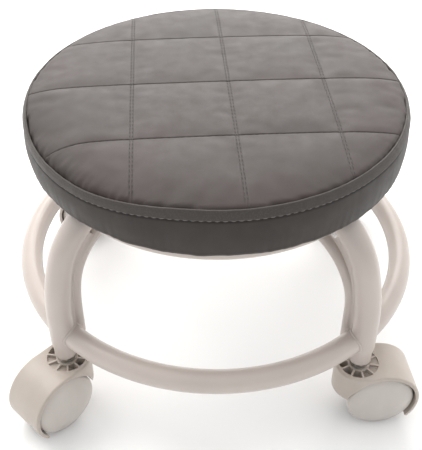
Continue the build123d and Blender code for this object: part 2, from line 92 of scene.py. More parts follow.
# ---------------------------------------------------------------- sewing
QUILT_PITCH = 71.3 * MM
QUILT_TURN = math.radians(5.3)
QUILT_SHIFT = (9.2 * MM, 4.7 * MM)       # the middle crossing, along the quilting's own two directions
QUILT_LINES = (-1, 0, 1)
TWIN_ROW = 0.90 * MM                     # the twin rows of stitches lie this far each side of a seam
STITCH_PITCH = 4.6 * MM
STITCH_LENGTH = 3.7 * MM
THREAD_R = 0.32 * MM
BAND_THREAD_R = 0.36 * MM
STRIP_H = 7.2 * MM                       # the band's folded upper edge is stitched this far below the seam
PULL_ANGLE = math.radians(206)           # the quilting is pulled down at the left front
PULL_WIDTH = math.radians(24)
PULL = 3.2 * MM
PUCKER_ANGLE = math.radians(230)         # and the edge seam is puckered a little nearer the front
PUCKER_WIDTH = math.radians(17)
SEAM_DROP = 6.2 * MM                     # the edge seam lies this much lower there
SEAM_DROP_STARTS = (184, 206)            # in degrees round the seat
SEAM_DROP_ENDS = (230, 266)
HEM_TUCK = 2 * MM                        # the dust cloth reaches this far under the band's hem
SCREW_HEAD_R = 6 * MM
SCREW_HOLE_R = 4.2 * MM                  # hole in the dust cloth round a screw
SHARP_ANGLE = math.radians(60)           # edges that bend more than this are shaded sharp


# ---------------------------------------------------------------- mesh helpers
def ring_point(radius, angle, z):
    return Vector((radius * math.cos(angle), radius * math.sin(angle), z))


def bell(distance, width):
    """A smooth bump of height 1 that fades over about twice the width."""
    return math.exp(-((distance / width) ** 2))


def smooth_step(low, high, value):
    t = min(1.0, max(0.0, (value - low) / (high - low)))
    return t * t * (3 - 2 * t)


def seam_drop(angle):
    """How far the edge seam is pulled down at the left front."""
    degrees = math.degrees(angle) % 360
    return SEAM_DROP * smooth_step(*SEAM_DROP_STARTS, degrees) * (1 - smooth_step(*SEAM_DROP_ENDS, degrees))


def make_piece(name, bm, material):
    """Turns a bmesh into a shown piece that rides on the frame."""
    bmesh.ops.recalc_face_normals(bm, faces=bm.faces)
    mesh = bpy.data.meshes.new(name)
    bm.to_mesh(mesh)
    bm.free()
    mesh.shade_smooth()
    mesh.set_sharp_from_angle(angle=SHARP_ANGLE)
    mesh.materials.append(material)
    piece = bpy.data.objects.new(name, mesh)
    bpy.context.scene.collection.objects.link(piece)
    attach(piece, "frame")
    return piece


def add_tube(bm, points, radii, sides, closed=False):
    """Adds a round tube along the points, which are close together, capped flat at both ends if it isn't
    closed.
    """
    count = len(points)
    rings = []
    side = None
    for k, point in enumerate(points):
        ahead = points[(k + 1) % count] if closed or k + 1 < count else point
        behind = points[k - 1] if closed or k else point
        along = (ahead - behind).normalized()
        if side is None:
            side = along.orthogonal().normalized()
        side = (side - along * side.dot(along)).normalized()
        across = along.cross(side)
        turns = [2 * math.pi * s / sides for s in range(sides)]
        spokes = [math.cos(a) * side + math.sin(a) * across for a in turns]
        rings.append([bm.verts.new(point + radii[k] * spoke) for spoke in spokes])
    pairs = zip(rings, rings[1:] + rings[:1]) if closed else zip(rings, rings[1:])
    for near, far in pairs:
        shift = 0
        if closed and near is rings[-1]:
            shift = min(range(sides), key=lambda s: (near[0].co - far[s].co).length)
        for s in range(sides):
            a, b = near[s], near[(s + 1) % sides]
            c, d = far[(s + 1 + shift) % sides], far[(s + shift) % sides]
            bm.faces.new((a, b, c, d))
    if not closed:
        bm.faces.new(list(reversed(rings[0])))
        bm.faces.new(rings[-1])


def add_stitch(bm, points, up, thread_r):
    """One stitch: a short thread that rises from the cloth, lies on it and dips in again."""
    last = len(points) - 1
    lifted = []
    radii = []
    for k, (point, normal) in enumerate(zip(points, up)):
        rise = math.sin(math.pi * k / last)
        lifted.append(point + normal * thread_r * (1.5 * rise - 0.9))
        radii.append(thread_r * (0.55 + 0.45 * math.sqrt(rise)))
    add_tube(bm, lifted, radii, 7)


# ---------------------------------------------------------------- material helpers
def new_material(name, **values):
    """A Principled material. Uniform values are set on the shader's own sockets."""
    material = bpy.data.materials.new(name)
    material.use_nodes = True
    shader = material.node_tree.nodes["Principled BSDF"]
    for socket, value in values.items():
        shader.inputs[socket.replace("_", " ")].default_value = value
    return material


def place_coords(tree, stretch=(1, 1, 1)):
    """The object's own coordinates in metres, stretched along an axis where a grain runs."""
    coords = tree.nodes.new("ShaderNodeTexCoord")
    mapping = tree.nodes.new("ShaderNodeMapping")
    mapping.inputs["Scale"].default_value = stretch
    tree.links.new(coords.outputs["Object"], mapping.inputs["Vector"])
    return mapping.outputs["Vector"]


def noise_field(tree, per_metre, detail=3.0, roughness=0.5, stretch=(1, 1, 1)):
    field = tree.nodes.new("ShaderNodeTexNoise")
    field.inputs["Scale"].default_value = per_metre
    field.inputs["Detail"].default_value = detail
    field.inputs["Roughness"].default_value = roughness
    tree.links.new(place_coords(tree, stretch), field.inputs["Vector"])
    return field.outputs["Fac"]


def cell_field(tree, per_metre, feature="DISTANCE_TO_EDGE"):
    field = tree.nodes.new("ShaderNodeTexVoronoi")
    field.feature = feature
    field.inputs["Scale"].default_value = per_metre
    tree.links.new(place_coords(tree), field.inputs["Vector"])
    return field.outputs["Distance"]


def calc(tree, operation, first, second):
    """A math node on two sockets or numbers."""
    node = tree.nodes.new("ShaderNodeMath")
    node.operation = operation
    for socket, value in zip(node.inputs, (first, second)):
        if isinstance(value, (int, float)):
            socket.default_value = value
        else:
            tree.links.new(value, socket)
    return node.outputs[0]


def fit(tree, value, low, high, new_low, new_high):
    """Maps a value from one range to another, and clamps it."""
    node = tree.nodes.new("ShaderNodeMapRange")
    tree.links.new(value, node.inputs["Value"])
    for name, number in zip(("From Min", "From Max", "To Min", "To Max"), (low, high, new_low, new_high)):
        node.inputs[name].default_value = number
    return node.outputs["Result"]


def blend_colours(tree, factor, first, second):
    """Blends two colours or colour sockets."""
    node = tree.nodes.new("ShaderNodeMix")
    node.data_type = "RGBA"
    tree.links.new(factor, node.inputs["Factor"])
    for socket, value in zip((node.inputs[6], node.inputs[7]), (first, second)):
        if isinstance(value, tuple):
            socket.default_value = (*value, 1)
        else:
            tree.links.new(value, socket)
    return node.outputs[2]


def set_colour(tree, colour):
    tree.links.new(colour, tree.nodes["Principled BSDF"].inputs["Base Color"])


def set_roughness(tree, value):
    tree.links.new(value, tree.nodes["Principled BSDF"].inputs["Roughness"])


def add_bump(tree, height, distance, strength=1.0):
    """Adds a bump on top of those the shader already has."""
    shader = tree.nodes["Principled BSDF"]
    bump = tree.nodes.new("ShaderNodeBump")
    bump.inputs["Distance"].default_value = distance
    bump.inputs["Strength"].default_value = strength
    tree.links.new(height, bump.inputs["Height"])
    if shader.inputs["Normal"].is_linked:
        tree.links.new(shader.inputs["Normal"].links[0].from_socket, bump.inputs["Normal"])
    tree.links.new(bump.outputs["Normal"], shader.inputs["Normal"])


def edge_mask(tree, radius):
    """1 along outer edges and 0 on open surface, from how far a bevel would turn the normal."""
    bevel = tree.nodes.new("ShaderNodeBevel")
    bevel.samples = 4
    bevel.inputs["Radius"].default_value = radius
    geometry = tree.nodes.new("ShaderNodeNewGeometry")
    turn = tree.nodes.new("ShaderNodeVectorMath")
    turn.operation = "DOT_PRODUCT"
    tree.links.new(bevel.outputs["Normal"], turn.inputs[0])
    tree.links.new(geometry.outputs["Normal"], turn.inputs[1])
    return fit(tree, turn.outputs["Value"], 0.99, 0.8, 0.0, 1.0)


# ---------------------------------------------------------------- materials
def vinyl_material(name, first, second, roughness, grain):
    """Coated upholstery cloth: a fine pebbled grain with painted shade in the grain's valleys, soft mottling
    and a slight sheen.
    """
    material = new_material(name, Sheen_Weight=0.08, Sheen_Roughness=0.5, Specular_IOR_Level=0.35)
    tree = material.node_tree
    mottle = fit(tree, noise_field(tree, 14, 4), 0.35, 0.65, 0.0, 1.0)
    pebbles = cell_field(tree, 1500)
    fine = noise_field(tree, 5200, 2)
    colour = blend_colours(tree, mottle, first, second)
    # painted shade: the grain's valleys are coloured darker, where shade falls in them
    crease_shade = fit(tree, pebbles, 0.0, 0.12, 0.22, 0.0)
    set_colour(tree, blend_colours(tree, crease_shade, colour, tuple(0.55 * c for c in first)))
    set_roughness(tree, fit(tree, noise_field(tree, 90, 3), 0.3, 0.7, roughness - 0.05, roughness + 0.06))
    add_bump(tree, fit(tree, pebbles, 0.0, 0.3, 0.0, 1.0), 0.05 * MM, grain)
    add_bump(tree, fine, 0.02 * MM, grain)
    return material


def band_material():
    """The band's cloth adds threads that run up the side, and its folded strip is painted paler: a painted
    highlight on the strip, which faces up towards the lights.
    """
    material = vinyl_material("band_vinyl_look", (0.027, 0.021, 0.018), (0.036, 0.029, 0.025), 0.60, 0.6)
    tree = material.node_tree
    around = tree.nodes.new("ShaderNodeTexGradient")
    around.gradient_type = "RADIAL"
    tree.links.new(place_coords(tree), around.inputs["Vector"])
    threads_round = 2 * math.pi * SIDE_R / (0.9 * MM)
    turn = calc(tree, "MULTIPLY", around.outputs["Fac"], 2 * math.pi * round(threads_round))
    jitter = calc(tree, "MULTIPLY", noise_field(tree, 220, 2), 5.0)
    warp = calc(tree, "SINE", calc(tree, "ADD", turn, jitter), 0.0)
    height = tree.nodes.new("ShaderNodeSeparateXYZ")
    tree.links.new(place_coords(tree), height.inputs[0])
    cloth = tree.nodes["Principled BSDF"].inputs["Base Color"].links[0].from_socket
    flecks = fit(tree, cell_field(tree, 900, "F1"), 0.1, 0.5, 1.0, 0.5)
    strip = tree.nodes.new("ShaderNodeAttribute")
    strip.attribute_name = "strip"
    # painted highlight: the folded strip, which faces up towards the lights, is coloured paler, broken up by
    # flecks
    strip_highlight = calc(tree, "MULTIPLY", strip.outputs["Fac"], flecks)
    set_colour(tree, blend_colours(tree, strip_highlight, cloth, (0.070, 0.060, 0.054)))
    weft = calc(tree, "SINE", calc(tree, "MULTIPLY", height.outputs["Z"], 2 * math.pi / (0.8 * MM)), 0.0)
    threads = calc(tree, "ADD", calc(tree, "MULTIPLY", warp, 0.7), calc(tree, "MULTIPLY", weft, 0.3))
    add_bump(tree, threads, 0.035 * MM, 0.5)
    return material


def thread_material(name, first, second):
    """Twisted polyester sewing thread."""
    material = new_material(name, Sheen_Weight=0.1, Sheen_Roughness=0.4)
    tree = material.node_tree
    fibres = noise_field(tree, 3500, 2)
    set_colour(tree, blend_colours(tree, fibres, first, second))
    set_roughness(tree, fit(tree, fibres, 0.3, 0.7, 0.45, 0.7))
    add_bump(tree, fibres, 0.04 * MM, 0.8)
    return material


def paint_material():
    """Satin powder coat: faint orange peel, soft mottling, small darker specks and paler edges, partly edge
    wear and partly a painted highlight.
    """
    material = new_material("frame_paint_look", Coat_Weight=0.25, Coat_Roughness=0.22, Specular_IOR_Level=0.5)
    tree = material.node_tree
    clean = (0.52, 0.456, 0.416)
    mottle = fit(tree, noise_field(tree, 26, 4), 0.35, 0.68, 0.0, 1.0)
    colour = blend_colours(tree, mottle, clean, (0.49, 0.427, 0.391))
    specks = fit(tree, cell_field(tree, 420, "F1"), 0.0, 0.09, 0.35, 0.0)
    colour = blend_colours(tree, specks, colour, (0.38, 0.335, 0.305))
    # paler edges: partly edge wear, partly a painted highlight along the edges
    set_colour(tree, blend_colours(tree, edge_mask(tree, 0.5 * MM), colour, (0.57, 0.513, 0.472)))
    set_roughness(tree, fit(tree, noise_field(tree, 60, 4), 0.3, 0.7, 0.33, 0.46))
    add_bump(tree, noise_field(tree, 520, 3, 0.6), 0.06 * MM, 0.35)
    return material


def nylon_material(name, first, second, roughness):
    """Moulded nylon: spark-eroded fine texture, soft flow marks, darker scuffs and paler edges, partly wear
    and partly a painted highlight.
    """
    material = new_material(name, Specular_IOR_Level=0.5, Subsurface_Weight=0.06, Subsurface_Scale=2 * MM)
    tree = material.node_tree
    flow = fit(tree, noise_field(tree, 45, 3, 0.5, (1, 1, 0.35)), 0.35, 0.65, 0.0, 1.0)
    colour = blend_colours(tree, flow, first, second)
    scuffs = fit(tree, noise_field(tree, 700, 4, 0.7, (1, 1, 0.12)), 0.62, 0.74, 0.0, 0.35)
    colour = blend_colours(tree, scuffs, colour, tuple(0.82 * c for c in first))
    # paler edges: partly wear, partly a painted highlight along the edges
    worn_and_lit_edge = tuple(min(1, 1.13 * c) for c in first)
    set_colour(tree, blend_colours(tree, edge_mask(tree, 0.7 * MM), colour, worn_and_lit_edge))
    set_roughness(tree, fit(tree, noise_field(tree, 160, 4), 0.3, 0.7, roughness - 0.06, roughness + 0.08))
    add_bump(tree, noise_field(tree, 2600, 2, 0.6), 0.03 * MM, 0.5)
    return material


def zinc_material():
    """Bright zinc plate with faint turning marks and dull stains."""
    material = new_material("zinc_look", Metallic=1.0, Anisotropic=0.3)
    tree = material.node_tree
    stains = fit(tree, noise_field(tree, 320, 4), 0.4, 0.65, 0.0, 1.0)
    set_colour(tree, blend_colours(tree, stains, (0.60, 0.60, 0.58), (0.47, 0.46, 0.43)))
    set_roughness(tree, fit(tree, noise_field(tree, 900, 3, 0.6, (1, 1, 6)), 0.3, 0.7, 0.24, 0.42))
    add_bump(tree, noise_field(tree, 1400, 2, 0.5, (1, 1, 5)), 0.02 * MM, 0.4)
    return material


def plywood_material():
    """Raw plywood: long grain on the faces and thin dark and light plies on the edge."""
    material = new_material("plywood_look", Specular_IOR_Level=0.35)
    tree = material.node_tree
    grain = fit(tree, noise_field(tree, 160, 6, 0.6, (0.08, 1, 1)), 0.3, 0.7, 0.0, 1.0)
    plies = tree.nodes.new("ShaderNodeTexWave")
    plies.bands_direction = "Z"
    plies.inputs["Scale"].default_value = 130
    plies.inputs["Distortion"].default_value = 0.4
    tree.links.new(place_coords(tree), plies.inputs["Vector"])
    colour = blend_colours(tree, grain, (0.52, 0.36, 0.20), (0.38, 0.24, 0.12))
    layers = fit(tree, plies.outputs["Fac"], 0.2, 0.8, 0.0, 0.5)
    set_colour(tree, blend_colours(tree, layers, colour, (0.30, 0.18, 0.09)))
    set_roughness(tree, fit(tree, grain, 0.0, 1.0, 0.6, 0.75))
    add_bump(tree, grain, 0.08 * MM, 0.6)
    return material


def dust_cloth_material():
    """Black spunbond dust cloth: matted fibres and a regular pattern of tiny weld points."""
    material = new_material("dust_cloth_look", Sheen_Weight=0.25, Sheen_Roughness=0.6)
    tree = material.node_tree
    fibres = noise_field(tree, 1800, 5, 0.7)
    points = fit(tree, cell_field(tree, 620, "F1"), 0.0, 0.35, 1.0, 0.0)
    colour = blend_colours(tree, fibres, (0.010, 0.010, 0.011), (0.034, 0.034, 0.036))
    set_colour(tree, blend_colours(tree, points, colour, (0.008, 0.008, 0.009)))
    set_roughness(tree, fit(tree, fibres, 0.3, 0.7, 0.75, 0.92))
    add_bump(tree, fibres, 0.12 * MM, 0.7)
    add_bump(tree, calc(tree, "MULTIPLY", points, -1.0), 0.1 * MM, 0.6)
    return material


def floor_material():
    """A matt near-white studio floor."""
    material = new_material("floor_look", Specular_IOR_Level=0.2)
    tree = material.node_tree
    tone = fit(tree, noise_field(tree, 3, 2), 0.3, 0.7, 0.0, 1.0)
    set_colour(tree, blend_colours(tree, tone, (0.93, 0.93, 0.93), (0.91, 0.91, 0.91)))
    set_roughness(tree, fit(tree, tone, 0.0, 1.0, 0.7, 0.8))
    return material


seat_vinyl = vinyl_material("seat_vinyl_look", (0.049, 0.034, 0.032), (0.041, 0.032, 0.028), 0.56, 0.6)
band_vinyl = band_material()
# painted shade: the quilt thread is coloured far darker than the seat's vinyl, standing in for the shade of
# the sunk seam lines it lies in
shaded_quilt_thread = thread_material("quilt_thread_shade_look", (0.012, 0.010, 0.009), (0.035, 0.030, 0.027))
band_thread = thread_material("band_thread_look", (0.12, 0.112, 0.105), (0.24, 0.226, 0.212))
frame_paint = paint_material()
looks = {
    "frame_paint": frame_paint,
    "zinc_steel": zinc_material(),
    "caster_shell": nylon_material("caster_shell_look", (0.47, 0.412, 0.365), (0.44, 0.385, 0.338), 0.38),
    "caster_wheel": nylon_material("caster_wheel_look", (0.56, 0.515, 0.475), (0.52, 0.478, 0.44), 0.34),
    "seat_vinyl": seat_vinyl,
    "band_vinyl": band_vinyl,
    "foam": band_vinyl,
    "plywood": plywood_material(),
    "lining_cloth": dust_cloth_material(),
}
for part in frame["record"]["subparts"]:
    frame["nodes"][part["node"]].data.materials[0] = looks[part["material_slot"]]


# ---------------------------------------------------------------- seat cushion
def quilt_to_seat(u, v):
    """From the quilting's own directions to the seat's x and y, with the left front corner's pull."""
    x = u * math.cos(QUILT_TURN) - v * math.sin(QUILT_TURN)
    y = u * math.sin(QUILT_TURN) + v * math.cos(QUILT_TURN)
    angle = math.atan2(y, x) % (2 * math.pi)
    pull = smooth_step(0.80, 1.0, math.hypot(x, y) / SEAM_R) * bell(angle - PULL_ANGLE, PULL_WIDTH)
    return x, y - PULL * pull


def line_distance(position, shift):
    """How far a place is from the nearest line of quilting that runs the other way."""
    return min(abs(position - shift - k * QUILT_PITCH) for k in QUILT_LINES)


def rest_height(x, y):
    """The seat's height on the quilting lines: nearly flat, then rolling down into the edge seam."""
    part = min(1.0, math.hypot(x, y) / SEAM_R)
    crown = 0.72 * (1 - part**9) + 0.28 * (1 - part**2)
    return SEAM_Z + (TOP_Z - SEAM_Z - 1.2 * MM) * crown - seam_drop(math.atan2(y, x)) * part**14


def even_steps(shift, step):
    reach = SEAM_R + 2 * step
    first = math.ceil((-reach - shift) / step)
    return [shift + k * step for k in range(first, int((reach - shift) / step) + 1)]


def graded_steps(shift, near, step):
    """Grid positions that are close together beside each quilting line and even between them."""
    reach = SEAM_R + 2 * step
    fixed = {-reach, reach}
    for k in QUILT_LINES:
        fixed.update(shift + k * QUILT_PITCH + side * d for d in near for side in (-1, 1))
    fixed = sorted(fixed)
    steps = [fixed[0]]
    for low, high in zip(fixed, fixed[1:]):
        count = max(1, round((high - low) / step))
        steps += [low + (high - low) * k / count for k in range(1, count + 1)]
    return steps


def disc_grid(us, vs):
    """A flat grid along the quilting, cut to the seam's circle. Each vertex keeps its quilting position."""
    bm = bmesh.new()
    u_layer = bm.verts.layers.float.new("u")
    v_layer = bm.verts.layers.float.new("v")
    rows = []
    for v in vs:
        rows.append([bm.verts.new((*quilt_to_seat(u, v), 0)) for u in us])
        for vert, u in zip(rows[-1], us):
            vert[u_layer] = u
            vert[v_layer] = v
    for near, far in zip(rows, rows[1:]):
        for k in range(len(us) - 1):
            bm.faces.new((near[k], near[k + 1], far[k + 1], far[k]))
    rim = []
    for edge in list(bm.edges):
        start, end = edge.verts
        if (start.co.length < SEAM_R) == (end.co.length < SEAM_R):
            continue
        run = end.co - start.co
        half_b = start.co.dot(run) / run.length_squared
        root = math.sqrt(half_b**2 - (start.co.length_squared - SEAM_R**2) / run.length_squared)
        share = -half_b + root if start.co.length < SEAM_R else -half_b - root
        places = [start[u_layer], start[v_layer], end[u_layer], end[v_layer]]
        vert = bmesh.utils.edge_split(edge, start, share)[1]
        vert[u_layer] = places[0] + (places[2] - places[0]) * share
        vert[v_layer] = places[1] + (places[3] - places[1]) * share
        rim.append(vert)
    bmesh.ops.connect_verts(bm, verts=rim)
    outside = [f for f in bm.faces if max(v.co.length for v in f.verts) > SEAM_R + 1e-6]
    bmesh.ops.delete(bm, geom=outside, context="FACES")
    bmesh.ops.remove_doubles(bm, verts=[v for v in bm.verts if v.is_boundary], dist=0.35 * MM)
    return bm, u_layer, v_layer


def inflate(drum, pinned, cap):
    """Blows the drum up as cloth, caps how far it moved and leaves the result in its mesh."""
    group = drum.vertex_groups.new(name="pinned")
    group.add(pinned, 1.0, "REPLACE")
    rest = np.array([v.co for v in drum.data.vertices])
    cloth = drum.modifiers.new("cloth", "CLOTH")
    settings = cloth.settings
    settings.quality = 6
    settings.mass = 0.15
    settings.tension_stiffness = 9
    settings.compression_stiffness = 9
    settings.shear_stiffness = 4
    settings.bending_stiffness = 0.3
    settings.use_pressure = True
    settings.uniform_pressure_force = 4
    settings.vertex_group_mass = "pinned"
    settings.shrink_min = -0.004
    settings.effector_weights.gravity = 0
    for step in range(1, 21):
        bpy.context.scene.frame_set(step)
    blown = drum.evaluated_get(bpy.context.evaluated_depsgraph_get()).to_mesh()
    moved = np.array([v.co for v in blown.vertices]) - rest
    drum.modifiers.remove(cloth)
    length = np.linalg.norm(moved, axis=1, keepdims=True)
    capped = rest + moved * (cap * np.tanh(length / cap) / np.maximum(length, 1e-9))
    drum.data.vertices.foreach_set("co", capped.astype(np.float32).ravel())
    drum.data.update()
    bpy.context.scene.frame_set(1)


def puffed_surface():
    """The seat's top from a cloth simulation, held down at the quilting. Heights are measured on it."""
    step = QUILT_PITCH / 16
    bm, u_layer, v_layer = disc_grid(even_steps(QUILT_SHIFT[0], step), even_steps(QUILT_SHIFT[1], step))
    bm.verts.ensure_lookup_table()
    made = bmesh.ops.extrude_face_region(bm, geom=list(bm.faces))
    under = [v for v in made["geom"] if isinstance(v, bmesh.types.BMVert)]
    for vert in bm.verts:
        vert.co.z = rest_height(*vert.co.xy)
    for vert in under:
        vert.co.z = BOARD_TOP
    bmesh.ops.recalc_face_normals(bm, faces=bm.faces)
    bm.verts.index_update()
    pinned = [v.index for v in under]
    for vert in bm.verts:
        du = line_distance(vert[u_layer], QUILT_SHIFT[0])
        dv = line_distance(vert[v_layer], QUILT_SHIFT[1])
        sewn = min(du, dv) < 0.1 * step or vert.co.xy.length > SEAM_R - 0.1 * MM
        if vert.co.z > BOARD_TOP and sewn:
            pinned.append(vert.index)
    mesh = bpy.data.meshes.new("drum")
    bm.to_mesh(mesh)
    bm.free()
    drum = bpy.data.objects.new("drum", mesh)
    bpy.context.scene.collection.objects.link(drum)
    inflate(drum, pinned, 1.8 * MM)
    drum.modifiers.new("smooth", "SUBSURF").levels = 1
    surface = BVHTree.FromObject(drum, bpy.context.evaluated_depsgraph_get())
    bpy.data.objects.remove(drum)
    return surface


def seat_height(surface, x, y):
    """Height of the simulated top at a place on the seat."""
    radius = math.hypot(x, y)
    inset = min(1.0, (SEAM_R - 0.4 * MM) / max(radius, 1e-9))
    hit = surface.ray_cast(Vector((x * inset, y * inset, 1.0)), Vector((0, 0, -1)))[0]
    return hit.z if hit else rest_height(x, y)


def sewn_relief(x, y, u, v):
    """How far sewing moves the top: twin rows along one set of seams, a crease along the other, puckers."""
    radius = math.hypot(x, y)
    inward = SEAM_R - radius
    du = line_distance(u, QUILT_SHIFT[0])
    dv = line_distance(v, QUILT_SHIFT[1])
    relief = -0.42 * MM * bell(du - TWIN_ROW, 0.42 * MM)
    relief -= 0.50 * MM * bell(dv, 0.35 * MM) + 0.12 * MM * bell(dv, 1.2 * MM)
    relief += 0.10 * MM * noise.noise(Vector((u, v, 0)) * 150) * (bell(du, 4 * MM) + bell(dv, 4 * MM))
    angle = math.atan2(y, x) % (2 * math.pi)
    wave = noise.noise(Vector((46 * math.cos(angle), 46 * math.sin(angle), 20 * inward)))
    slack = bell(angle - PUCKER_ANGLE, PUCKER_WIDTH)
    relief += (0.10 + 0.70 * slack) * MM * wave * bell(inward - 3 * MM, 6 * MM)
    relief += 0.35 * MM * slack * noise.noise(Vector((u * 38 - v * 14, v * 60, 3))) * bell(inward, 34 * MM)
    relief += 0.35 * MM * slack * math.sin(150 * angle + 4 * wave) * bell(inward - 2 * MM, 3.5 * MM)
    return relief - 0.9 * MM * bell(inward, 1.1 * MM)


def make_cushion(surface):
    """The quilted top as a closed padded form on the board, its edge tucked into the seam."""
    beside_twin = [d * MM for d in (0, 0.45, 0.9, 1.35, 1.8, 2.3, 3.1, 4.4)]
    beside_plain = [d * MM for d in (0, 0.3, 0.6, 1.0, 1.6, 2.6, 4.2)]
    us = graded_steps(QUILT_SHIFT[0], beside_twin, 1.7 * MM)
    vs = graded_steps(QUILT_SHIFT[1], beside_plain, 1.7 * MM)
    bm, u_layer, v_layer = disc_grid(us, vs)
    for vert in bm.verts:
        x, y = vert.co.xy
        vert.co.z = seat_height(surface, x, y) + sewn_relief(x, y, vert[u_layer], vert[v_layer])
    rim = sorted((v for v in bm.verts if v.is_boundary), key=lambda v: math.atan2(v.co.y, v.co.x))
    skirt = (
        (SEAM_R - 1.2 * MM, SEAM_Z - 2.2 * MM),
        (SEAM_R - 3.2 * MM, SEAM_Z - 5.0 * MM),
        (SEAM_R - 4.0 * MM, BOARD_TOP + 8 * MM),
        (SEAM_R - 4.0 * MM, BOARD_TOP + 0.1 * MM),
        (SEAM_R - 30 * MM, BOARD_TOP + 0.1 * MM),
    )
    for radius, z in skirt:
        angles = [math.atan2(v.co.y, v.co.x) for v in rim]
        lower = smooth_step(BOARD_TOP, SEAM_Z, z)
        ring = [bm.verts.new(ring_point(radius, a, z - lower * seam_drop(a))) for a in angles]
        for k in range(len(rim)):
            bm.faces.new((rim[k - 1], rim[k], ring[k], ring[k - 1]))
        rim = ring
    middle = bm.verts.new((0, 0, BOARD_TOP + 0.1 * MM))
    for k in range(len(rim)):
        bm.faces.new((rim[k - 1], rim[k], middle))
    cushion = make_piece("seat_cushion", bm, seat_vinyl)
    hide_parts("seat_top_panel", "seat_foam")
    return cushion


# ---------------------------------------------------------------- side band
BAND_TOP = SEAM_Z - 0.2 * MM
STITCH_Z = BAND_TOP - STRIP_H
FOOT_Z = SEAT_BOTTOM + 6 * MM            # the band rounds under the board below here
FOOT_R = SEAM_R + 2 * MM


def band_side(z):
    """Radius of the band's plain side at a height."""
    share = (z - FOOT_Z) / (BAND_TOP - FOOT_Z)
    lower_radius = FOOT_R + (SEAM_R + 0.7 * MM - FOOT_R) * share
    bulge = SIDE_R - (FOOT_R + SEAM_R) / 2
    return lower_radius + 3.3 * bulge * share * (1 - share)


def band_radius(z):
    """The band's outline: the folded strip stands slightly proud, and the stitching pulls it in."""
    lean = 1.0 * MM * (BAND_TOP - z) / STRIP_H
    strip = (0.1 * MM + lean) * smooth_step(STITCH_Z - 0.3 * MM, STITCH_Z + 1.2 * MM, z)
    return band_side(z) + strip - 0.75 * MM * bell(z - STITCH_Z, 0.9 * MM)


def band_outline():
    """Points of the band's section, as radius and height, up its inner side and down its outer side."""
    fold_r = 1.0 * MM
    fold = (band_radius(BAND_TOP) - fold_r, BAND_TOP - fold_r)
    outer = []
    for degrees in range(165, -1, -15):
        angle = math.radians(degrees)
        outer.append((fold[0] + fold_r * math.cos(angle), fold[1] + fold_r * math.sin(angle)))
    z = fold[1]
    while z > FOOT_Z + 0.5 * MM:
        z -= 0.4 * MM if abs(z - STITCH_Z) < 3 * MM else 1.3 * MM
        outer.append((band_radius(z), z))
    turn_r = FOOT_Z - SEAT_BOTTOM
    for degrees in range(0, -91, -10):
        angle = math.radians(degrees)
        outer.append((FOOT_R - turn_r + turn_r * math.cos(angle), FOOT_Z + turn_r * math.sin(angle)))
    outer += [(LINING_R + 2.5 * MM, SEAT_BOTTOM), (LINING_R + 0.6 * MM, SEAT_BOTTOM)]
    inner = [
        (LINING_R + 0.6 * MM, SEAT_BOTTOM + 0.9 * MM),
        (FOOT_R - turn_r, SEAT_BOTTOM + 0.9 * MM),
        (FOOT_R - 2.2 * MM, FOOT_Z - 2.5 * MM),
        (FOOT_R - SKIN, FOOT_Z + 3 * MM),
        (SIDE_R - SKIN - 0.4 * MM, (STITCH_Z + FOOT_Z) / 2),
        (SEAM_R - 0.9 * MM, STITCH_Z),
    ]
    return outer + inner


def band_shift(angle, z):
    """Small uneven pulls of the band: gathers at the stitching, loose waves and an uneven lower edge."""
    across = Vector((math.cos(angle), math.sin(angle), 0))
    gathers = 0.16 * MM * noise.noise(across * 42 + Vector((0, 0, z * 60))) * bell(z - STITCH_Z, 4 * MM)
    fold_wave = 0.22 * MM * noise.noise(across * 26 + Vector((0, 0, 9))) * smooth_step(STITCH_Z, BAND_TOP, z)
    loose = 0.45 * MM * noise.noise(across * 6 + Vector((0, 0, z * 25)))
    low = smooth_step(STITCH_Z, SEAT_BOTTOM, z)
    drop = 0.9 * MM * noise.noise(across * 11 + Vector((0, 0, 20))) * low
    pulls = 0.35 * MM * noise.noise(across * 34 + Vector((0, 0, 4))) * low
    return gathers + fold_wave + loose + pulls, drop


def make_band():
    """The band round the seat's side, closed round its own thickness, its hem turned under the board."""
    bm = bmesh.new()
    strip = bm.verts.layers.float.new("strip")
    outline = band_outline()
    count = 900
    rings = []
    for k in range(count):
        angle = 2 * math.pi * k / count
        ring = []
        for radius, z in outline:
            out, drop = band_shift(angle, z)
            hem = smooth_step(LINING_R + 1 * MM, FOOT_R - 4 * MM, radius)
            down = seam_drop(angle) * smooth_step(FOOT_Z, STITCH_Z, z)
            wide = radius + out * hem + 0.2 * down * smooth_step(STITCH_Z, BAND_TOP, z)
            vert = bm.verts.new(ring_point(wide, angle, z + drop * hem * smooth_step(0.2, 1, hem) - down))
            # the strip layer masks the painted highlight on the band's folded strip
            vert[strip] = smooth_step(STITCH_Z + 0.1 * MM, STITCH_Z + 0.6 * MM, z)
            ring.append(vert)
        rings.append(ring)
    for near, far in zip(rings, rings[1:] + rings[:1]):
        for k in range(len(outline)):
            bm.faces.new((near[k - 1], near[k], far[k], far[k - 1]))
    band = make_piece("seat_band", bm, band_vinyl)
    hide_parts("seat_side_band")
    return band


# ---------------------------------------------------------------- stitches
def surface_stitch(bm, surface, start, end):
    """One stitch between two places on the seat, lying in the relief of its seam."""
    points = []
    normals = []
    for k in range(7):
        u = start[0] + (end[0] - start[0]) * k / 6
        v = start[1] + (end[1] - start[1]) * k / 6
        x, y = quilt_to_seat(u, v)
        points.append(Vector((x, y, seat_height(surface, x, y) + sewn_relief(x, y, u, v))))
        normals.append(Vector((0, 0, 1)))
    add_stitch(bm, points, normals, THREAD_R)


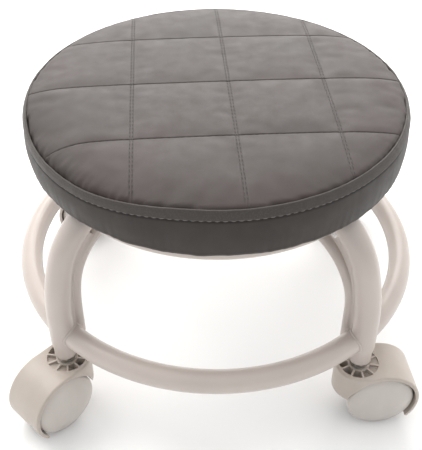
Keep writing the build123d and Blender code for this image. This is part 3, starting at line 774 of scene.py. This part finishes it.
def make_quilt_stitches(surface):
    """Twin rows along one set of seams and a single sunk row along the other."""
    bm = bmesh.new()
    reach = SEAM_R - 2.5 * MM
    count = int(2 * reach / STITCH_PITCH)
    for line in QUILT_LINES:
        for row in (-TWIN_ROW, TWIN_ROW, None):
            for k in range(count):
                along = -reach + k * STITCH_PITCH
                if row is None:
                    v = QUILT_SHIFT[1] + line * QUILT_PITCH
                    start, end = (along, v), (along + STITCH_LENGTH, v)
                else:
                    u = QUILT_SHIFT[0] + line * QUILT_PITCH + row
                    start, end = (u, along), (u, along + STITCH_LENGTH)
                far = max(math.hypot(*quilt_to_seat(*start)), math.hypot(*quilt_to_seat(*end)))
                if far < reach:
                    surface_stitch(bm, surface, start, end)
    make_piece("quilt_stitches", bm, shaded_quilt_thread)


def make_band_stitches():
    """The row of stitches that holds the band's folded edge."""
    bm = bmesh.new()
    around = 2 * math.pi * (SEAM_R + 1.5 * MM)
    count = round(around / (1.08 * STITCH_PITCH))
    for k in range(count):
        middle = 2 * math.pi * k / count
        half = STITCH_LENGTH / around * math.pi
        points = []
        normals = []
        for j in range(7):
            angle = middle + half * (j / 3 - 1)
            out, drop = band_shift(angle, STITCH_Z)
            height = STITCH_Z + drop - seam_drop(angle)
            points.append(ring_point(band_radius(STITCH_Z) + out, angle, height))
            normals.append(ring_point(1, angle, 0))
        add_stitch(bm, points, normals, BAND_THREAD_R)
    make_piece("band_stitches", bm, band_thread)


# ---------------------------------------------------------------- dust cloth
def make_dust_cloth():
    """The black cloth under the board, slightly slack between its staples and snug round the screws."""
    screw_low, screw_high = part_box("seat_screws")
    screw_circle = (screw_high.x - screw_low.x) / 2 - SCREW_HEAD_R
    screws = [ring_point(screw_circle, math.pi / 2 * k, 0) for k in range(4)]
    cloth_r = LINING_R + HEM_TUCK
    bm = bmesh.new()
    radii = [SCREW_HOLE_R + (cloth_r - SCREW_HOLE_R) * k / 64 for k in range(65)]
    count = 240
    rows = []
    for radius in radii:
        row = []
        for k in range(count):
            angle = 2 * math.pi * k / count
            place = ring_point(radius, angle, 0)
            edge = smooth_step(cloth_r, LINING_R - 12 * MM, radius)
            held = min((place - screw).length for screw in screws)
            slack = edge * smooth_step(8 * MM, 24 * MM, held)
            sag = 0.35 * MM * (0.6 + noise.noise(place * 28))
            around = Vector((34 * math.cos(angle), 34 * math.sin(angle), radius * 20))
            pleats = 0.12 * MM * noise.noise(around)
            place.z = SEAT_BOTTOM + 0.55 * MM - slack * (sag + pleats)
            row.append(bm.verts.new(place))
        rows.append(row)
    for near, far in zip(rows, rows[1:]):
        for k in range(count):
            bm.faces.new((near[k - 1], near[k], far[k], far[k - 1]))
    hub = bm.verts.new((0, 0, SEAT_BOTTOM + 0.3 * MM))
    for k in range(count):
        bm.faces.new((hub, rows[0][k], rows[0][k - 1]))
    cloth = make_piece("dust_cloth", bm, looks["lining_cloth"])
    thickness = cloth.modifiers.new("thickness", "SOLIDIFY")
    thickness.thickness = 0.3 * MM
    thickness.offset = 0
    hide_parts("seat_lining")


# ---------------------------------------------------------------- welds
def weld_bead(bm, points, radius, closed):
    """A painted weld bead with the faint ripples of its run."""
    radii = []
    for k, point in enumerate(points):
        radii.append(radius * (1 + 0.07 * math.sin(1.9 * k) + 0.12 * noise.noise(point * 300)))
    add_tube(bm, points, radii, 10, closed)


def foot_ring_loop(leg_angle):
    """The line where the foot ring's tube runs into a leg."""
    limit = math.acos((STEM_R - LEG_R - FOOT_RING_R) / FOOT_TUBE_R)
    count = 40
    half = []
    for k in range(count + 1):
        turn = -limit + 2 * limit * k / count
        radius = FOOT_RING_R + FOOT_TUBE_R * math.cos(turn)
        cosine = (radius**2 + STEM_R**2 - LEG_R**2) / (2 * radius * STEM_R)
        half.append((radius, math.acos(min(1.0, cosine)), FOOT_RING_Z + FOOT_TUBE_R * math.sin(turn)))
    there = [ring_point(radius, leg_angle + apart, z) for radius, apart, z in half]
    back = [ring_point(radius, leg_angle - apart, z) for radius, apart, z in reversed(half[1:-1])]
    return there + back


def ring_contact(start, along):
    """Where a brace that runs along a direction meets the foot ring, as unbroken runs of points."""
    touch = 0.02 * MM
    side = along.orthogonal().normalized()
    across = along.cross(side)
    runs = [[]]
    for k in range(73):
        turn = 2 * math.pi * k / 72
        place = start + BRACE_TUBE_R * (math.cos(turn) * side + math.sin(turn) * across)
        travel = 0.0
        met = False
        while travel < 30 * MM:
            gap = math.hypot(place.xy.length - FOOT_RING_R, place.z - FOOT_RING_Z) - FOOT_TUBE_R
            if gap < touch:
                met = True
                break
            place = place + along * gap
            travel += gap
        if met:
            runs[-1].append(place)
        elif runs[-1]:
            runs.append([])
    return [run for run in runs if len(run) > 6]


def leg_line():
    """The leg's centreline as distance from the stool's axis, height and lean from upright."""
    lower = [(STEM_R, WELD_FOOT_Z + (LEG_BEND_Z - WELD_FOOT_Z) * k / 8, 0.0) for k in range(9)]
    bow = []
    for k in range(1, 19):
        lean = min(LEG_BOW_TURN, math.radians(k))
        bow.append((STEM_R - LEG_BOW_R * (1 - math.cos(lean)), LEG_BEND_Z + LEG_BOW_R * math.sin(lean), lean))
    shoulder = []
    for k in range(1, 19):
        lean = LEG_BOW_TURN + math.radians(2 * k)
        radius = bow[-1][0] - LEG_SHOULDER_R * (math.cos(LEG_BOW_TURN) - math.cos(lean))
        height = bow[-1][1] + LEG_SHOULDER_R * (math.sin(lean) - math.sin(LEG_BOW_TURN))
        shoulder.append((radius, height, lean))
    return lower + bow + shoulder


def brace_line():
    """The brace's centreline beside a leg, as distance from the stool's axis and height."""
    middle = STEM_R - LEG_R - BRACE_TUBE_R
    hug_r = LEG_BOW_R - (STEM_R - middle)
    hug_turn = math.asin((BRACE_RUN_Z - LEG_BEND_Z - BRACE_BEND_R) / (hug_r - BRACE_BEND_R))
    line = [(middle, BRACE_END_Z + (LEG_BEND_Z - BRACE_END_Z) * k / 48) for k in range(48)]
    for k in range(401):
        turn = math.pi / 2 * k / 400
        near = min(turn, hug_turn)
        radius = middle - hug_r * (1 - math.cos(near)) - BRACE_BEND_R * (math.cos(near) - math.cos(turn))
        height = LEG_BEND_Z + hug_r * math.sin(near) + BRACE_BEND_R * (math.sin(turn) - math.sin(near))
        line.append((radius, height))
    return line


def weld_section(apart):
    """Half of the weld's section between a leg and its brace, from the leg's side to the brace's."""
    leg_turn = math.radians(42)
    brace_turn = math.radians(52)
    start = Vector((LEG_R * math.cos(leg_turn), LEG_R * math.sin(leg_turn)))
    end = Vector((apart - BRACE_TUBE_R * math.cos(brace_turn), BRACE_TUBE_R * math.sin(brace_turn)))
    leave = Vector((math.sin(leg_turn), -math.cos(leg_turn)))
    arrive = Vector((-math.sin(brace_turn), -math.cos(brace_turn)))
    run = end - start
    reach = (run.x * arrive.y - run.y * arrive.x) / (leave.x * arrive.y - leave.y * arrive.x)
    corner = start + leave * reach
    points = []
    for k in range(9):
        t = k / 8
        points.append(start * (1 - t) ** 2 + corner * 2 * t * (1 - t) + end * t**2)
    return points


def make_long_weld(bm, outward):
    """The smooth run of weld that joins a leg and its brace, on both sides."""
    across = Vector((-outward.y, outward.x, 0))
    brace = brace_line()
    rings = []
    for radius, height, lean in leg_line():
        inward = (-math.cos(lean), -math.sin(lean))
        along = (-math.sin(lean), math.cos(lean))
        beside = []
        for r, z in brace:
            reach = (r - radius) * inward[0] + (z - height) * inward[1]
            beside.append((abs((r - radius) * along[0] + (z - height) * along[1]), reach))
        apart = min(b for b in beside if b[1] > 0)[1]
        if apart > LONGEST_WELD:
            break
        half = weld_section(apart)
        loop = half + [Vector((p.x, -p.y)) for p in reversed(half)]
        ring = []
        for p in loop:
            place = outward * (radius + inward[0] * p.x) + across * p.y
            place.z = height + inward[1] * p.x
            ring.append(bm.verts.new(place))
        rings.append(ring)
    for near, far in zip(rings, rings[1:]):
        for k in range(len(near)):
            bm.faces.new((near[k - 1], near[k], far[k], far[k - 1]))
    bm.faces.new(list(reversed(rings[0])))
    bm.faces.new(rings[-1])


def make_welds():
    for corner, degrees in LEG_ANGLES.items():
        leg_angle = math.radians(degrees)
        outward = ring_point(1, leg_angle, 0)
        bm = bmesh.new()
        weld_bead(bm, foot_ring_loop(leg_angle), FOOT_BEAD_R, True)
        brace_start = outward * (STEM_R - LEG_R - BRACE_TUBE_R) + Vector((0, 0, FOOT_RING_Z + 16 * MM))
        for run in ring_contact(brace_start, Vector((0, 0, -1))):
            weld_bead(bm, run, BRACE_BEAD_R, False)
        make_long_weld(bm, outward)
        make_piece(f"foot_weld_{corner}", bm, frame_paint)


# ---------------------------------------------------------------- stage
def make_floor():
    bm = bmesh.new()
    bmesh.ops.create_grid(bm, x_segments=8, y_segments=8, size=6)
    mesh = bpy.data.meshes.new("floor")
    bm.to_mesh(mesh)
    bm.free()
    mesh.materials.append(floor_material())
    floor = bpy.data.objects.new("floor", mesh)
    bpy.context.scene.collection.objects.link(floor)


def make_world():
    """A bright room that is darker on the side of the camera."""
    world = bpy.data.worlds.new("studio")
    bpy.context.scene.world = world
    world.use_nodes = True
    tree = world.node_tree
    coords = tree.nodes.new("ShaderNodeTexCoord")
    parts = tree.nodes.new("ShaderNodeSeparateXYZ")
    tree.links.new(coords.outputs["Generated"], parts.inputs[0])
    behind = calc(tree, "ADD", calc(tree, "MULTIPLY", parts.outputs["Z"], 0.45), parts.outputs["Y"])
    strength = fit(tree, behind, -0.7, 0.6, 0.54, 1.6)
    background = tree.nodes["Background"]
    tint = fit(tree, behind, -0.7, 0.6, 0.0, 1.0)
    sky = blend_colours(tree, tint, (0.93, 0.965, 1.0), (1.0, 0.985, 0.965))
    tree.links.new(sky, background.inputs["Color"])
    tree.links.new(strength, background.inputs["Strength"])


def add_light(name, place, target, size, watts, colour):
    light = bpy.data.lights.new(name, "AREA")
    light.shape = "RECTANGLE"
    light.size, light.size_y = size
    light.energy = watts
    light.color = colour
    lamp = bpy.data.objects.new(name, light)
    lamp.location = place
    lamp.rotation_euler = (Vector(target) - Vector(place)).to_track_quat("-Z", "Y").to_euler()
    bpy.context.scene.collection.objects.link(lamp)


def make_camera():
    camera = bpy.data.cameras.new("camera")
    camera.sensor_width = 36
    camera.lens = 63.73
    eye = bpy.data.objects.new("camera", camera)
    eye.location = (0.0096, -0.5157, 0.5323)
    eye.rotation_euler = Euler((math.radians(49.79), 0, math.radians(1.5)))
    bpy.context.scene.collection.objects.link(eye)
    bpy.context.scene.camera = eye


surface = puffed_surface()
make_cushion(surface)
make_band()
make_quilt_stitches(surface)
make_band_stitches()
make_dust_cloth()
make_welds()

make_floor()
make_world()
add_light("key", (-0.9, 0.5, 1.5), (0, 0, 0.15), (1.2, 0.8), 12, (1.0, 0.98, 0.95))
add_light("back", (0.0, 1.5, 1.0), (0, 0, 0.2), (1.6, 0.8), 20, (1.0, 0.99, 0.97))
make_camera()
bpy.context.scene.view_settings.view_transform = "Standard"
